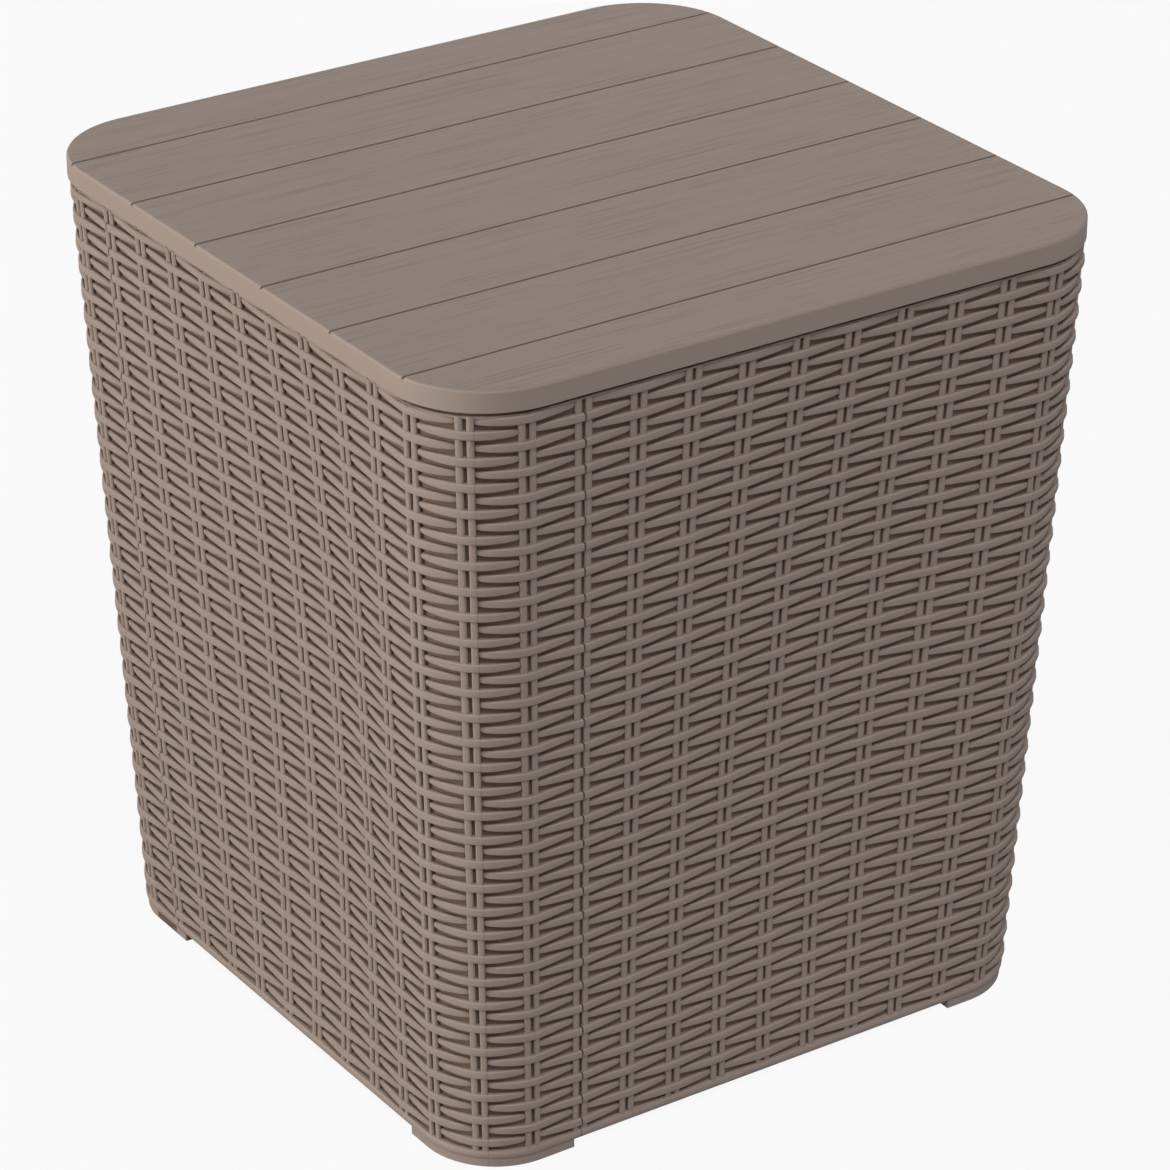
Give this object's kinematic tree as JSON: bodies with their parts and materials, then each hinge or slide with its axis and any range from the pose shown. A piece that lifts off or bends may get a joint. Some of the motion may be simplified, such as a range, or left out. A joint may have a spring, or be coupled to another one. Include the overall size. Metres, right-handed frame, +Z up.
{
  "type": "outdoor storage side table",
  "caption": "Square outdoor storage side table: a hollow box of woven-look wall panels with rounded corners, short corner feet and a lift-off lid moulded in slats.",
  "frame": {"origin": "centre of the footprint at the bottom of the feet", "axes": "+Z up; the front face looks towards -Y and the slats of the lid run along X"},
  "size_m": [0.426, 0.426, 0.469],
  "materials": {
    "lid_plastic": "matte moulded plastic with a brushed wood grain",
    "wall_plastic": "matte moulded plastic in a woven relief",
    "floor_plastic": "matte moulded plastic, smooth"
  },
  "bodies": {
    "box": {"front_panel": "wall_plastic", "right_panel": "wall_plastic", "back_panel": "wall_plastic", "left_panel": "wall_plastic", "floor_panel": "floor_plastic"},
    "lid": {"lid": "lid_plastic"}
  },
  "joints": [
    {"name": "lid_lift", "type": "slide", "parent": "box", "child": "lid", "axis": [0, 0, 1], "range_m": [0, 0.15]}
  ]
}
